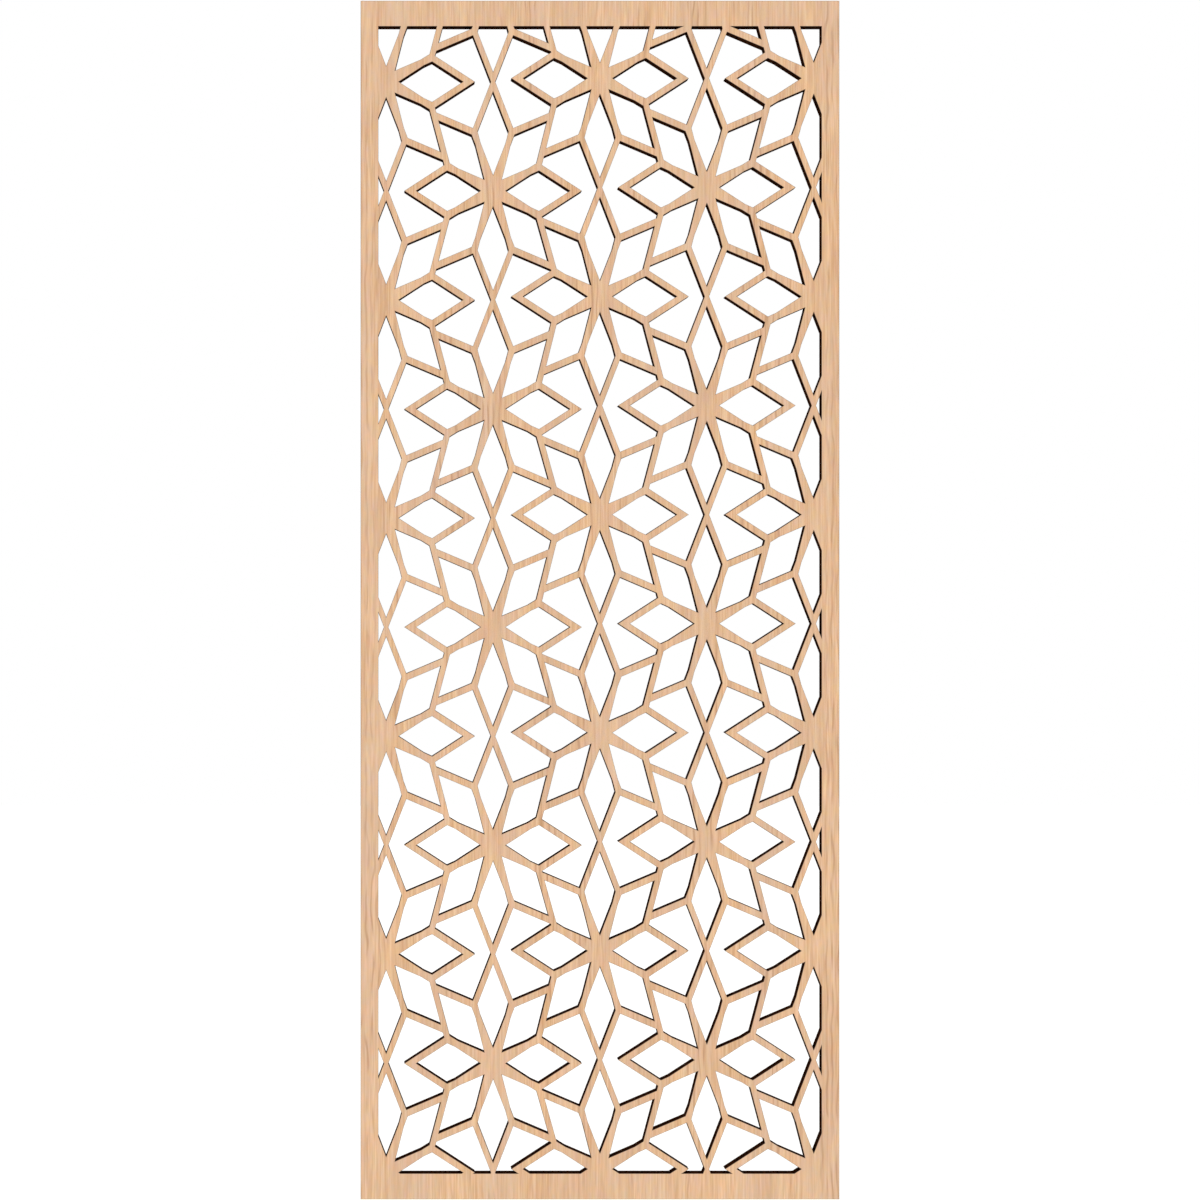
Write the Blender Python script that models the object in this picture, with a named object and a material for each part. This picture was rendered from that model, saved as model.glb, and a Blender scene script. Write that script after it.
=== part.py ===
"""Fretwork wall panel: one board with a plain border round a lattice of eight-pointed stars, cut through.

Metres, +X to the right along the panel, +Z up, and +Y from the face to the back. The origin is on the back
face, in the middle of the top rail, where the panel is fixed to its wall.

The pattern is drawn from the centre lines of its bars. The stars stand in columns, and each column's
stars come level with the crossings of the next. Every star has four side arms, which end at knees, and
four upright arms, which end at hips. From the knees, bars close a lozenge on each side of the star, and
a long bar runs to the knee of the slantwise neighbour. From the hips, bars run up or down to the
crossing in the star's own column, and a short bar runs out to the long bar. The openings are what is
left between the bars.
"""

import math

import bmesh
import bpy
from mathutils import Vector

# The board.
PANEL_WIDTH = 0.5937
PANEL_HEIGHT = 1.4865
BOARD_THICKNESS = 0.0095
STILE_WIDTH = 0.0220
TOP_RAIL_DEPTH = 0.0317
BOTTOM_RAIL_DEPTH = 0.0319

# Where the stars stand. The fretwork is laid out in two strips, and the left one sits a little lower.
COLUMN_PITCH = 0.1326  # from one column of stars to the next
STAR_PITCH = 0.2706  # from one star to the next in the same column
STAR_BELOW_TOP = 0.6373  # from the top of the board to the middle star of the middle column
LEFT_STRIP_DROP = 0.0043

# The star figure, as shares of the column pitch across and of half the star pitch up.
KNEE_ACROSS = 0.425
KNEE_UP = 0.2225
LOZENGE_TIP_ACROSS = 0.775
HIP_ACROSS = 0.1758
HIP_UP = 0.537
SHORT_BAR_LANDING = 0.85  # where the short bar meets the long one, as a share of the long bar's length
ARM_WAIST_AT = 0.80  # where an arm is narrowest, as a share of its length

# Each arm tapers from the star's centre to its waist, and spreads again towards its end.
SIDE_ARM_ROOT = 0.0169
SIDE_ARM_WAIST = 0.0083
SIDE_ARM_KNEE = 0.0099
UPRIGHT_ARM_ROOT = 0.0142
UPRIGHT_ARM_WAIST = 0.0069
UPRIGHT_ARM_HIP = 0.0085

# The bars keep one width.
LOZENGE_BAR = 0.0080
LONG_BAR = 0.0073
SHORT_BAR = 0.0083
CROSSING_BAR = 0.0070
CROSSING_WAIST = 0.0055  # the wood left between the openings on either side of a crossing

SMALLEST_CUT = 12e-6  # square metres: an opening that the border leaves less of than this isn't cut

# Heights of the board's ends from the origin, which is at half the depth of the top rail.
TOP_EDGE = TOP_RAIL_DEPTH / 2
BOTTOM_EDGE = TOP_EDGE - PANEL_HEIGHT

LEFT, RIGHT = 1, -1  # sides of a bar, looking along it


def bar_edge(start, end, start_width, end_width, side):
    """One edge of a bar: its centre line moved out by half its width at each end, to the left or right."""
    along = (end - start).normalized()
    across = Vector((-along.y, along.x)) * side
    return start + across * start_width / 2, end + across * end_width / 2


def meet(first, second):
    """The point where two edges cross, run on past their ends."""
    start, way = first[0], first[1] - first[0]
    other_start, other_way = second[0], second[1] - second[0]
    along = (other_start - start).cross(other_way) / way.cross(other_way)
    return start + way * along


def mirrored(points, across, up):
    """The points about the star's centre, turned over to another quarter by signs of 1 or -1."""
    return [Vector((point.x * across, point.y * up)) for point in points]


class Star:
    """The bars round one star, in its upper right quarter, with the star's centre at zero."""

    def __init__(self):
        centre = Vector((0, 0))
        self.half_pitch = STAR_PITCH / 2
        self.level = (centre, Vector((1, 0)))
        self.upright = (centre, Vector((0, 1)))
        self.knee = Vector((KNEE_ACROSS * COLUMN_PITCH, KNEE_UP * self.half_pitch))
        self.hip = Vector((HIP_ACROSS * COLUMN_PITCH, HIP_UP * self.half_pitch))
        self.crossing = self.crossing_tip()
        next_knee = Vector((COLUMN_PITCH, self.half_pitch)) - self.knee
        self.landing = self.knee.lerp(next_knee, SHORT_BAR_LANDING)

        lozenge_tip = Vector((LOZENGE_TIP_ACROSS * COLUMN_PITCH, 0))
        side_waist = self.knee * ARM_WAIST_AT
        upright_waist = self.hip * ARM_WAIST_AT
        self.side_arm = {}
        self.upright_arm = {}
        self.lozenge_bar = {}
        self.crossing_bar = {}
        for side in (LEFT, RIGHT):
            self.side_arm[side] = (
                bar_edge(centre, side_waist, SIDE_ARM_ROOT, SIDE_ARM_WAIST, side),
                bar_edge(side_waist, self.knee, SIDE_ARM_WAIST, SIDE_ARM_KNEE, side),
            )
            self.upright_arm[side] = (
                bar_edge(centre, upright_waist, UPRIGHT_ARM_ROOT, UPRIGHT_ARM_WAIST, side),
                bar_edge(upright_waist, self.hip, UPRIGHT_ARM_WAIST, UPRIGHT_ARM_HIP, side),
            )
            self.lozenge_bar[side] = bar_edge(self.knee, lozenge_tip, LOZENGE_BAR, LOZENGE_BAR, side)
            self.crossing_bar[side] = bar_edge(self.hip, self.crossing, CROSSING_BAR, CROSSING_BAR, side)

    def crossing_tip(self):
        """Where the bars from two hips meet: short of the crossing, by what leaves the crossing its waist.

        The bars' lean and their reach depend on each other, so they are settled in a few rounds.
        """
        reach = self.half_pitch
        rounds = 20
        for _ in range(rounds):
            lean = math.atan2(self.hip.x, reach - self.hip.y)
            excess = CROSSING_BAR / math.cos(lean) - CROSSING_WAIST
            reach = self.half_pitch - excess / 2 / math.tan(lean)
        return Vector((0, reach))

    def lozenge(self):
        """The opening beside the star, between its upper and lower side arms."""
        root, knee = self.side_arm[RIGHT]
        inside = self.lozenge_bar[RIGHT]
        half = [meet(root, self.level), root[1], meet(knee, inside), meet(inside, self.level)]
        return half + mirrored(half[-2:0:-1], 1, -1)

    def kite(self):
        """The opening above the star, between its upright arms and the bars up to the crossing."""
        root, hip = self.upright_arm[LEFT]
        inside = self.crossing_bar[LEFT]
        half = [meet(root, self.upright), root[1], meet(hip, inside), meet(inside, self.upright)]
        return half + mirrored(half[-2:0:-1], -1, 1)

    def petal(self, neighbour):
        """The opening between a side arm and an upright arm, closed by the long bar and the short bar."""
        side_root, side_knee = self.side_arm[LEFT]
        upright_root, upright_hip = self.upright_arm[RIGHT]
        long_bar = bar_edge(self.knee, neighbour - self.knee, LONG_BAR, LONG_BAR, LEFT)
        short_bar = bar_edge(self.hip, self.landing, SHORT_BAR, SHORT_BAR, RIGHT)
        return [
            meet(side_root, upright_root),
            side_root[1],
            meet(side_knee, long_bar),
            meet(long_bar, short_bar),
            meet(short_bar, upright_hip),
            upright_root[1],
        ]

    def notch(self, neighbour):
        """Three corners of the opening past the lozenge's tip, above its middle, and the bar that ends it.

        The neighbour's bars are this star's own, turned half round about the middle of the long bar.
        """
        far_hip = neighbour - self.hip
        far_crossing = neighbour - self.crossing
        lozenge_bar = self.lozenge_bar[LEFT]
        long_bar = bar_edge(self.knee, neighbour - self.knee, LONG_BAR, LONG_BAR, RIGHT)
        short_bar = bar_edge(far_hip, neighbour - self.landing, SHORT_BAR, SHORT_BAR, LEFT)
        crossing_bar = bar_edge(far_hip, far_crossing, CROSSING_BAR, CROSSING_BAR, RIGHT)
        corners = [meet(lozenge_bar, long_bar), meet(long_bar, short_bar), meet(short_bar, crossing_bar)]
        return corners, crossing_bar

    def notched(self, upper_neighbour, lower_neighbour):
        """The opening between a lozenge's tip and the next column's crossing."""
        upper, upper_bar = self.notch(upper_neighbour)
        lower, lower_bar = self.notch(lower_neighbour)
        start = meet(self.lozenge_bar[LEFT], self.level)
        end = meet(upper_bar, mirrored(lower_bar, 1, -1))
        return [start, *upper, end, *mirrored(lower[::-1], 1, -1)]


def column_place(column):
    """Where a column's stars stand across the panel, and how far they sit below the middle column's."""
    return column * COLUMN_PITCH, LEFT_STRIP_DROP if column < 0 else 0.0


def openings_round(star, column, row):
    """Outlines of the openings round the star in this column and row, at their places on the panel."""
    across, drop = column_place(column)
    centre = Vector((across, TOP_EDGE - STAR_BELOW_TOP - drop + row * star.half_pitch))
    outlines = [mirrored(star.kite(), 1, up) for up in (1, -1)]
    for side in (1, -1):
        next_across, next_drop = column_place(column + side)
        spacing = abs(next_across - across)
        # Where the next column sits lower, its star above is nearer and its star below is further off.
        neighbours = {up: Vector((spacing, star.half_pitch - up * (next_drop - drop))) for up in (1, -1)}
        outlines.append(mirrored(star.lozenge(), side, 1))
        outlines.append(mirrored(star.notched(neighbours[1], neighbours[-1]), side, 1))
        outlines += [mirrored(star.petal(neighbours[up]), side, up) for up in (1, -1)]
    return [[centre + point for point in outline] for outline in outlines]


def all_openings():
    """Outlines of every opening of a lattice that reaches past the border on all sides."""
    star = Star()
    columns = math.ceil(PANEL_WIDTH / 2 / COLUMN_PITCH) + 1
    rows = math.ceil(PANEL_HEIGHT / star.half_pitch) + 1
    outlines = []
    for column in range(-columns, columns + 1):
        for row in range(-rows, rows + 1):
            if (column + row) % 2 == 0:
                outlines += openings_round(star, column, row)
    return outlines


def trim_to_border(mesh):
    """Cuts the openings off at the border's inner edges, and drops what is left too small to cut."""
    inner_side = PANEL_WIDTH / 2 - STILE_WIDTH
    inner_top = TOP_EDGE - TOP_RAIL_DEPTH
    inner_bottom = BOTTOM_EDGE + BOTTOM_RAIL_DEPTH
    trims = (
        ((inner_side, 0, 0), (1, 0, 0)),
        ((-inner_side, 0, 0), (-1, 0, 0)),
        ((0, 0, inner_top), (0, 0, 1)),
        ((0, 0, inner_bottom), (0, 0, -1)),
    )
    nearness = 1e-7  # metres: a corner this near a cut counts as on it
    for place, outwards in trims:
        parts = mesh.verts[:] + mesh.edges[:] + mesh.faces[:]
        bmesh.ops.bisect_plane(
            mesh, geom=parts, dist=nearness, plane_co=place, plane_no=outwards, clear_outer=True
        )
    slivers = [face for face in mesh.faces if face.calc_area() < SMALLEST_CUT]
    bmesh.ops.delete(mesh, geom=slivers, context="FACES")


def fretwork_mesh():
    """The board: the space between its outline and its openings, filled and given its thickness."""
    mesh = bmesh.new()
    for outline in all_openings():
        mesh.faces.new([mesh.verts.new((point.x, 0, point.y)) for point in outline])
    trim_to_border(mesh)
    bmesh.ops.delete(mesh, geom=mesh.faces[:], context="FACES_ONLY")

    half_width = PANEL_WIDTH / 2
    top_corners = [(-half_width, TOP_EDGE), (half_width, TOP_EDGE)]
    bottom_corners = [(half_width, BOTTOM_EDGE), (-half_width, BOTTOM_EDGE)]
    corners = [mesh.verts.new((x, 0, z)) for x, z in top_corners + bottom_corners]
    for start, end in zip(corners, corners[1:] + corners[:1]):
        mesh.edges.new((start, end))
    bmesh.ops.triangle_fill(mesh, edges=mesh.edges[:], use_beauty=True, normal=(0, 1, 0))

    extruded = bmesh.ops.extrude_face_region(mesh, geom=mesh.faces[:], use_keep_orig=True)
    face_side = [item for item in extruded["geom"] if isinstance(item, bmesh.types.BMVert)]
    bmesh.ops.translate(mesh, verts=face_side, vec=(0, -BOARD_THICKNESS, 0))
    bmesh.ops.recalc_face_normals(mesh, faces=mesh.faces[:])
    return mesh


def maple_veneer():
    """Clear-coated maple, with the colour its face shows from a few steps away."""
    colour = (0.745, 0.462, 0.283, 1)
    material = bpy.data.materials.new("maple_veneer")
    material.diffuse_color = colour
    material.use_nodes = True
    shader = material.node_tree.nodes["Principled BSDF"]
    shader.inputs["Base Color"].default_value = colour
    shader.inputs["Roughness"].default_value = 0.5
    shader.inputs["Metallic"].default_value = 0.0
    return material


def add_panel():
    """The panel's only piece, border and fretwork in one."""
    data = bpy.data.meshes.new("fretwork_panel")
    mesh = fretwork_mesh()
    mesh.to_mesh(data)
    mesh.free()
    data.materials.append(maple_veneer())
    panel = bpy.data.objects.new("fretwork_panel", data)
    bpy.context.scene.collection.objects.link(panel)


def main():
    for old in list(bpy.data.objects):
        bpy.data.objects.remove(old, do_unlink=True)
    add_panel()


main()
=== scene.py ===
import math

import bmesh
import bpy
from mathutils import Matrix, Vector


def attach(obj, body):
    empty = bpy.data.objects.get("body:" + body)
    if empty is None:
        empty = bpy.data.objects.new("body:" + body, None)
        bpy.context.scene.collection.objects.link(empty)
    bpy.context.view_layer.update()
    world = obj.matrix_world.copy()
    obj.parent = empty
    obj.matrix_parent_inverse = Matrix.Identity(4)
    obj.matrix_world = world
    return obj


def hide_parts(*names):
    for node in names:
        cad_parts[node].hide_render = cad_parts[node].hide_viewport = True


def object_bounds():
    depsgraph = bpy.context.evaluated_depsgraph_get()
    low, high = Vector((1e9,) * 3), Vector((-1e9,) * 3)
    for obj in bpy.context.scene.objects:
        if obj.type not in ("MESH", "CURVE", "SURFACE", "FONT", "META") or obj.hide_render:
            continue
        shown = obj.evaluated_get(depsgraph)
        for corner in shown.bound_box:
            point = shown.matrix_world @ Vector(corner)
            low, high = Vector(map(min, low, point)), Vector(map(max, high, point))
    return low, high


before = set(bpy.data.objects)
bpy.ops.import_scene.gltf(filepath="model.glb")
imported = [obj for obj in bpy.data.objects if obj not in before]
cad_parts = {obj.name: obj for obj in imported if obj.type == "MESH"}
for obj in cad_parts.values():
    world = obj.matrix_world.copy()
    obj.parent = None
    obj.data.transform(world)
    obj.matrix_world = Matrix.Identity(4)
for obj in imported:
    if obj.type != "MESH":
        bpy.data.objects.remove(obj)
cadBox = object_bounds()
print("fretwork panel: frame loaded")

millimetre = 0.001
white = (1, 1, 1, 1)
colourA, colourB, mixedColour = 6, 7, 2  # two inputs and the output of a Mix node that mixes colours


# sRGB hex to the linear colour that shaders take
def linearColour(hexColour):
    channels = [int(hexColour[place:place + 2], 16) / 255 for place in (1, 3, 5)]
    linear = [c / 12.92 if c <= 0.04045 else ((c + 0.055) / 1.055) ** 2.4 for c in channels]
    return (*linear, 1)


# adds a shader node: settings are its properties, inputs are links or plain values
def addNode(tree, kind, inputs, **settings):
    added = tree.nodes.new("ShaderNode" + kind)
    for name, value in settings.items():
        setattr(added, name, value)
    for socket, value in inputs.items():
        if isinstance(value, bpy.types.NodeSocket):
            tree.links.new(value, added.inputs[socket])
        else:
            added.inputs[socket].default_value = value
    return added


# what a Map Range node takes to stretch a value from one span to another
def stretch(value, within, span):
    return {"Value": value, "From Min": within[0], "From Max": within[1], "To Min": span[0], "To Max": span[1]}


# cells of a noise in millimetres, as the Mapping scale that gives them at a noise scale of 1
def cellScale(across, through, along):
    return tuple(1 / (size * millimetre) for size in (across, through, along))


# the camera stands square to the panel, left of its middle, and the frame is shifted back over it
camera = {
    "lens": 42.95,
    "sensor": 36,
    "distance": 1.7757,  # metres from the face of the board
    "standAcross": -0.2829,
    "standUp": -0.7503,
    "aimAcross": 0,  # what the middle of the picture shows
    "aimUp": -0.7274,
    "nearest": 0.01,
    "farthest": 100,
}


def addCamera(settings):
    data = bpy.data.cameras.new("photoCamera")
    data.lens = settings["lens"]
    data.sensor_width = settings["sensor"]
    seenWidth = settings["distance"] * settings["sensor"] / settings["lens"]
    data.shift_x = (settings["aimAcross"] - settings["standAcross"]) / seenWidth
    data.shift_y = (settings["aimUp"] - settings["standUp"]) / seenWidth
    data.clip_start = settings["nearest"]
    data.clip_end = settings["farthest"]
    body = bpy.data.objects.new("photoCamera", data)
    faceDepth = cadBox[0].y
    body.location = (settings["standAcross"], faceDepth - settings["distance"], settings["standUp"])
    body.rotation_euler = (math.radians(90), 0, 0)
    bpy.context.scene.collection.objects.link(body)
    bpy.context.scene.camera = body


# even white studio light all round, a little more of it from the front and above
studio = {
    "wallColour": "#FFFFFF",
    "wallStrength": 1.0,
    "keyStrength": 0.74,
    "keyAngle": 70,  # degrees across: a very large soft box
    "keyTurn": (38, 0, -18),
    "floorColour": "#F4F3F1",
    "floorRoughness": 0.9,
    "floorShine": 0.1,
    "floorGlow": 0.08,
    "floorHalf": 6,
    "floorGap": 0.3,  # metres below the panel, which hangs clear of it
}


def addStudio(settings):
    world = bpy.data.worlds.new("whiteStudio")
    world.use_nodes = True
    background = world.node_tree.nodes["Background"]
    background.inputs["Color"].default_value = linearColour(settings["wallColour"])
    background.inputs["Strength"].default_value = settings["wallStrength"]
    bpy.context.scene.world = world
    bpy.context.scene.view_settings.view_transform = "Standard"

    key = bpy.data.lights.new("softKey", "SUN")
    key.energy = settings["keyStrength"]
    key.angle = math.radians(settings["keyAngle"])
    keyBody = bpy.data.objects.new("softKey", key)
    keyBody.rotation_euler = [math.radians(turn) for turn in settings["keyTurn"]]
    bpy.context.scene.collection.objects.link(keyBody)

    material = bpy.data.materials.new("matteWhiteFloor")
    material.use_nodes = True
    shader = material.node_tree.nodes["Principled BSDF"]
    shader.inputs["Base Color"].default_value = linearColour(settings["floorColour"])
    shader.inputs["Roughness"].default_value = settings["floorRoughness"]
    shader.inputs["Specular IOR Level"].default_value = settings["floorShine"]
    shader.inputs["Emission Color"].default_value = white
    shader.inputs["Emission Strength"].default_value = settings["floorGlow"]
    bm = bmesh.new()
    bmesh.ops.create_grid(bm, x_segments=1, y_segments=1, size=settings["floorHalf"])
    bmesh.ops.translate(bm, verts=bm.verts, vec=(0, 0, cadBox[0].z - settings["floorGap"]))
    data = bpy.data.meshes.new("floor")
    bm.to_mesh(data)
    bm.free()
    data.materials.append(material)
    floor = bpy.data.objects.new("floor", data)
    bpy.context.scene.collection.objects.link(floor)


# maple veneer, sliced and sanded, under a clear satin lacquer: pinkish tan, with fine straight pale and
# dark lines, soft browner lines that bow in and out, and bands and mottling of yellower and pinker wood
veneer = {
    "darkLine": "#C89A75",
    "lightLine": "#E7C0A1",
    "figure": "#A06C44",
    "warmTint": "#FFFAE4",
    "pinkTint": "#F2F8FF",
    "greenish": "#F9FFF7",
    "rosy": "#FFFAFF",
    "scorch": "#2E1A0E",
    "refraction": 1.5,
    "roughness": 0.45,
    "lineRoughness": 0.06,  # the dark lines are rougher by this and the pale ones smoother
    "coat": 0.25,
    "coatRoughness": 0.3,
    "poreStrength": 0.2,
    "poreDepth": 0.05,  # millimetres
    # a cell is a noise's grain in millimetres, across, through and along the wood, and the noise is stretched
    # to its span, from 0.2 to 0.8 where it doesn't say within
    "fineLines": {"cell": (1.6, 40, 45), "detail": 1, "span": (-0.47, 0.47)},
    "longLines": {"cell": (3.6, 60, 1100), "detail": 0, "span": (0.35, 0.65)},
    "bands": {"cell": (26, 90, 200), "detail": 2, "span": (-0.22, 0.22)},
    "warmth": {"cell": (46, 90, 400), "detail": 1, "span": (0, 1)},
    "mottling": {"cell": (5, 20, 9), "detail": 1, "span": (-0.4, 0.4)},
    "patches": {"cell": (7, 20, 14), "detail": 1, "span": (0, 1)},
    "fading": {"cell": (9, 40, 42), "detail": 0, "within": (0.38, 0.6), "span": (0, 1)},
    "zones": {"cell": (34, 120, 700), "detail": 0, "within": (0.5, 0.66), "span": (0.15, 1)},
    "lineStrength": {"within": (0.35, 0.65), "span": (0.6, 1.1)},  # by the warmth of the wood
    "warmthShown": {"within": (0, 1), "span": (0.125, 0.875)},
    # the browner lines: a cell from one to the next, the wave scale that puts one in each cell, and how
    # much of each wave is brown
    "rings": {"cell": (7.5, 1000, 1000), "wave": 0.314, "within": (0.6, 1), "span": (0, 0.5)},
    "outerStrips": {"within": (270, 285), "span": (0, 0.72)},  # millimetres from the middle: the wavier wood
    # how far all lines stray sideways in millimetres, and the browner ones besides
    "wander": {"cell": (70, 200, 170), "detail": 1, "stray": 4},
    "bow": {"cell": (17, 100, 52), "detail": 1, "stray": 12},
}
usualNoise = (0.2, 0.8)


def mapleVeneer(name, settings, dulling):
    material = bpy.data.materials.new(name)
    material.use_nodes = True
    tree = material.node_tree
    shader = tree.nodes["Principled BSDF"]
    shade = {part: linearColour(value) for part, value in settings.items() if isinstance(value, str)}
    place = addNode(tree, "TexCoord", {}).outputs["Object"]

    # the lines stray slowly to the side, as the tree grew
    def strayed(vector, drift):
        slow = addNode(tree, "Mapping", {"Vector": vector, "Scale": cellScale(*drift["cell"])})
        grown = addNode(tree, "TexNoise", {"Vector": slow.outputs[0], "Scale": 1, "Detail": drift["detail"]})
        sideways = (drift["stray"] * millimetre, 0, 0)
        inputs = {0: grown.outputs["Color"], 1: sideways, 2: vector}
        return addNode(tree, "VectorMath", inputs, operation="MULTIPLY_ADD").outputs[0]

    wood = strayed(place, settings["wander"])
    bowed = strayed(wood, settings["bow"])

    def noise(part):
        spread = addNode(tree, "Mapping", {"Vector": wood, "Scale": cellScale(*part["cell"])})
        pattern = addNode(tree, "TexNoise", {"Vector": spread.outputs[0], "Scale": 1, "Detail": part["detail"]})
        inputs = stretch(pattern.outputs["Fac"], part.get("within", usualNoise), part["span"])
        return addNode(tree, "MapRange", inputs).outputs[0]

    # fine lines, stronger in the yellower wood, over long soft ones and broad bands
    warmth = noise(settings["warmth"])
    strength = addNode(tree, "MapRange", stretch(warmth, **settings["lineStrength"])).outputs[0]
    lines = noise(settings["fineLines"])
    inputs = {0: lines, 1: strength, 2: noise(settings["longLines"])}
    tone = addNode(tree, "Math", inputs, operation="MULTIPLY_ADD").outputs[0]
    tone = addNode(tree, "Math", {0: tone, 1: noise(settings["bands"])}, operation="ADD").outputs[0]
    inputs = {0: tone, colourA: shade["darkLine"], colourB: shade["lightLine"]}
    colour = addNode(tree, "Mix", inputs, data_type="RGBA").outputs[mixedColour]

    # the browner lines fade in and out, and show in some strips of the wood and at its outer sides
    rings = settings["rings"]
    spaced = addNode(tree, "Mapping", {"Vector": bowed, "Scale": cellScale(*rings["cell"])})
    waves = addNode(tree, "TexWave", {"Vector": spaced.outputs[0], "Scale": rings["wave"]}).outputs["Fac"]
    browner = addNode(tree, "MapRange", stretch(waves, rings["within"], rings["span"])).outputs[0]
    across = addNode(tree, "SeparateXYZ", {0: place}).outputs[0]
    fromMiddle = addNode(tree, "Math", {0: across}, operation="ABSOLUTE").outputs[0]
    edges = [edge * millimetre for edge in settings["outerStrips"]["within"]]
    outer = addNode(tree, "MapRange", stretch(fromMiddle, edges, settings["outerStrips"]["span"])).outputs[0]
    strips = addNode(tree, "Math", {0: outer, 1: noise(settings["zones"])}, operation="MAXIMUM").outputs[0]
    for share in (noise(settings["fading"]), strips):
        browner = addNode(tree, "Math", {0: browner, 1: share}, operation="MULTIPLY").outputs[0]
    inputs = {0: browner, colourA: colour, colourB: shade["figure"]}
    colour = addNode(tree, "Mix", inputs, data_type="RGBA").outputs[mixedColour]

    # yellower and pinker bands with a mottling, then patches a shade greener or rosier
    shown = addNode(tree, "MapRange", stretch(warmth, **settings["warmthShown"])).outputs[0]
    mottled = addNode(tree, "Math", {0: shown, 1: noise(settings["mottling"])}, operation="ADD").outputs[0]
    for share, low, high in ((mottled, "pinkTint", "warmTint"), (noise(settings["patches"]), "greenish", "rosy")):
        inputs = {0: share, colourA: shade[low], colourB: shade[high]}
        tint = addNode(tree, "Mix", inputs, data_type="RGBA").outputs[mixedColour]
        inputs = {0: 1, colourA: colour, colourB: tint}
        colour = addNode(tree, "Mix", inputs, data_type="RGBA", blend_type="MULTIPLY").outputs[mixedColour]

    # the laser toasts the wood beside each cut
    toast = addNode(tree, "Attribute", {}, attribute_name="scorch").outputs["Fac"]
    inputs = {0: toast, colourA: colour, colourB: shade["scorch"]}
    colour = addNode(tree, "Mix", inputs, data_type="RGBA").outputs[mixedColour]
    tree.links.new(colour, shader.inputs["Base Color"])

    rough = settings["roughness"] + dulling
    span = (rough + settings["lineRoughness"], rough - settings["lineRoughness"])
    sheen = addNode(tree, "MapRange", stretch(lines, settings["fineLines"]["span"], span)).outputs[0]
    tree.links.new(sheen, shader.inputs["Roughness"])
    depth = settings["poreDepth"] * millimetre
    pores = addNode(tree, "Bump", {"Height": lines, "Strength": settings["poreStrength"], "Distance": depth})
    tree.links.new(pores.outputs[0], shader.inputs["Normal"])
    shader.inputs["IOR"].default_value = settings["refraction"]
    shader.inputs["Coat Weight"].default_value = settings["coat"]
    shader.inputs["Coat Roughness"].default_value = settings["coatRoughness"]
    return material


# wood charred by the laser: nearly black brown, dead matte, with fine marks running through the board
charring = {
    "soot": "#050100",
    "brown": "#331809",
    "cell": (2.2, 14, 2.2),  # real marks are about 0.3 mm apart, drawn coarser so that they show
    "detail": 2,
    "within": (0.3, 0.75),
    "span": (0, 1),
    "roughness": 0.95,
    "shine": 0,
    "ridgeStrength": 0.5,
    "ridgeDepth": 0.1,  # millimetres
}


def charredCut(settings):
    material = bpy.data.materials.new("laserCharredCut")
    material.use_nodes = True
    tree = material.node_tree
    shader = tree.nodes["Principled BSDF"]
    place = addNode(tree, "TexCoord", {}).outputs["Object"]
    spread = addNode(tree, "Mapping", {"Vector": place, "Scale": cellScale(*settings["cell"])}).outputs[0]
    inputs = {"Vector": spread, "Scale": 1, "Detail": settings["detail"]}
    marks = addNode(tree, "TexNoise", inputs).outputs["Fac"]
    share = addNode(tree, "MapRange", stretch(marks, settings["within"], settings["span"])).outputs[0]
    inputs = {0: share, colourA: linearColour(settings["soot"]), colourB: linearColour(settings["brown"])}
    colour = addNode(tree, "Mix", inputs, data_type="RGBA").outputs[mixedColour]
    tree.links.new(colour, shader.inputs["Base Color"])
    depth = settings["ridgeDepth"] * millimetre
    ridges = addNode(tree, "Bump", {"Height": marks, "Strength": settings["ridgeStrength"], "Distance": depth})
    tree.links.new(ridges.outputs[0], shader.inputs["Normal"])
    shader.inputs["Roughness"].default_value = settings["roughness"]
    shader.inputs["Specular IOR Level"].default_value = settings["shine"]
    return material


# the board: the solid's own form, with its sharp rims eased and a toasted margin beside every cut
board = {
    "easing": 0.15,  # millimetres: radius of the rounded rim
    "easingSteps": 3,
    "margins": ((0.25, 0.9), (0.25, 0.3)),  # width of each toasted strip and the scorch at its outer side
    "sameCorner": 0.001,  # millimetres: the solid's corners this near each other are one
    "faceOn": 0.9,  # a face that looks forwards or back this squarely is part of that side
    "backDulling": 0.2,  # the back's lacquer is the thinner one
}


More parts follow.
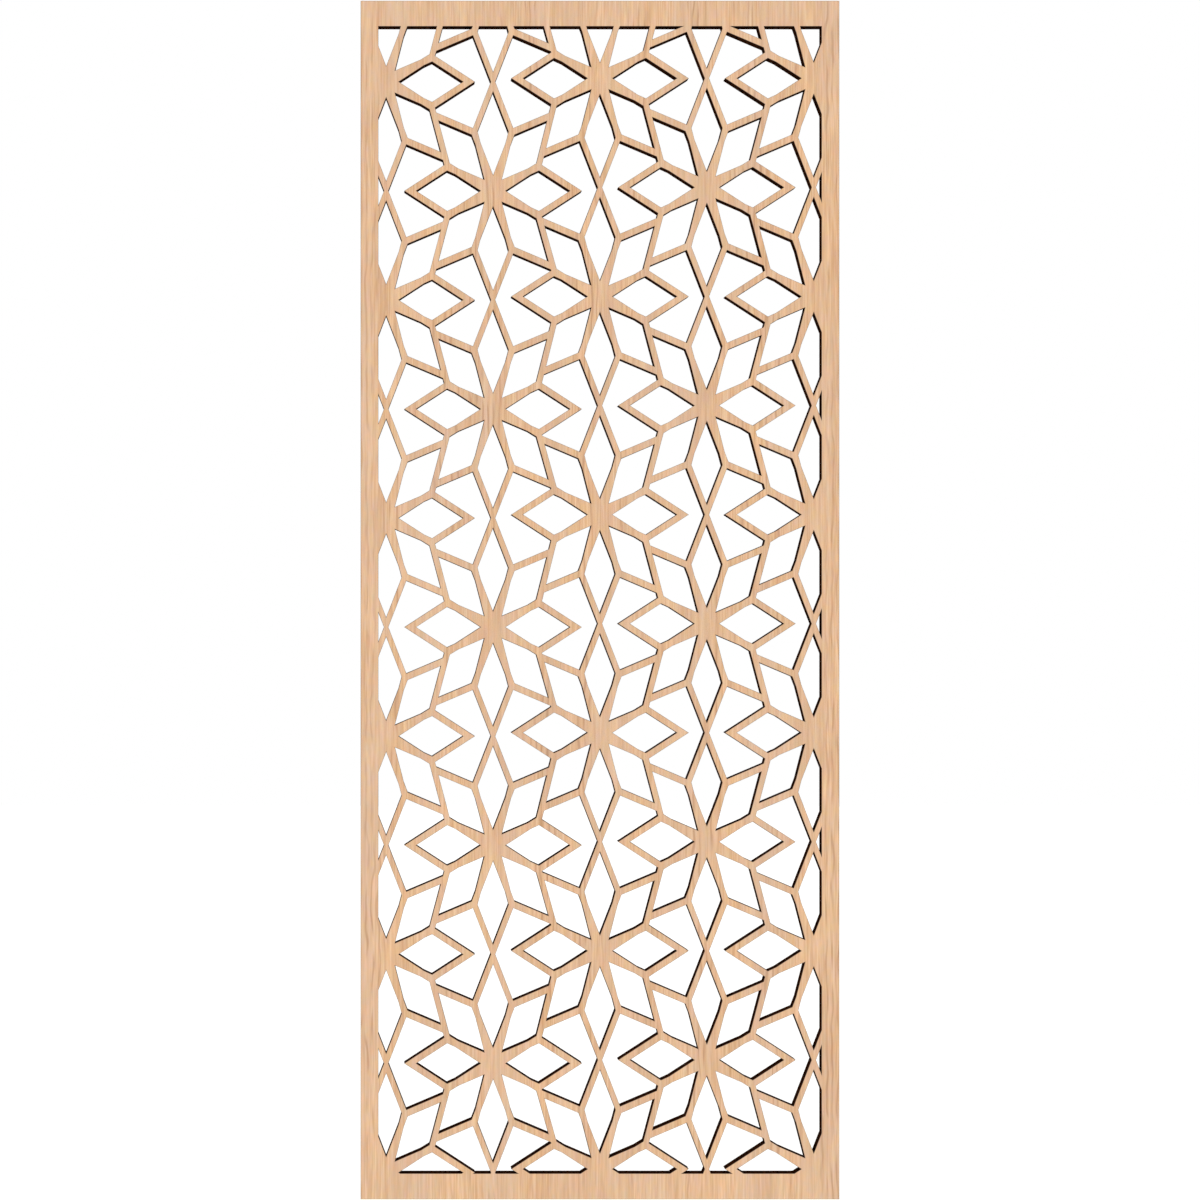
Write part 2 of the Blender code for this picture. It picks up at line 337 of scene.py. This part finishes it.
# makes one strip just inside a side's rims, by an inset that is kept level, and gives back its outer points
def insetStrip(bm, sideFaces, width, level):
    strip = bmesh.ops.inset_region(
        bm, faces=sideFaces, thickness=width, depth=0, use_even_offset=True, use_boundary=True
    )["faces"]
    inner = {vert for face in sideFaces for vert in face.verts}
    for vert in inner:
        vert.co.y = level
    return {vert for face in strip for vert in face.verts} - inner


def easeSide(bm, sideFaces, outwards, scorch, settings):
    level = cadBox[1].y if outwards > 0 else cadBox[0].y
    radius = settings["easing"] * millimetre
    steps = settings["easingSteps"]
    turns = [math.radians(90) * step / steps for step in range(steps + 1)]
    # each strip's width, with the depth and the scorch of its outer side: first the round, then the margins
    strips = [
        (radius * (math.cos(turn) - math.cos(nextTurn)), radius * (1 - math.sin(turn)), 1)
        for turn, nextTurn in zip(turns, turns[1:])
    ]
    strips += [(width * millimetre, 0, share) for width, share in settings["margins"]]
    for width, drop, share in strips:
        for vert in insetStrip(bm, sideFaces, width, level):
            vert.co.y = level - outwards * drop
            vert[scorch] = share


def buildPanel(settings):
    finishes = [
        mapleVeneer("satinMapleVeneer", veneer, 0),
        mapleVeneer("backMapleVeneer", veneer, settings["backDulling"]),
        charredCut(charring),
    ]
    frontSlot, backSlot, cutSlot = range(len(finishes))
    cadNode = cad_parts["fretwork_panel"]
    bm = bmesh.new()
    bm.from_mesh(cadNode.data)
    bmesh.ops.remove_doubles(bm, verts=bm.verts, dist=settings["sameCorner"] * millimetre)
    for face in bm.faces:
        face.material_index = cutSlot
    scorch = bm.verts.layers.float.new("scorch")
    for outwards, slot in ((-1, frontSlot), (1, backSlot)):
        side = [face for face in bm.faces if face.normal.y * outwards > settings["faceOn"]]
        for face in side:
            face.material_index = slot
        easeSide(bm, side, outwards, scorch, settings)
    data = bpy.data.meshes.new("mapleFretwork")
    bm.to_mesh(data)
    bm.free()
    for finish in finishes:
        data.materials.append(finish)
    panel = bpy.data.objects.new("mapleFretwork", data)
    bpy.context.scene.collection.objects.link(panel)
    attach(panel, "root")
    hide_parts("fretwork_panel")
    return panel


addCamera(camera)
print("fretwork panel: camera set")
buildPanel(board)
print("fretwork panel: board made")
addStudio(studio)
print("fretwork panel: studio lit")
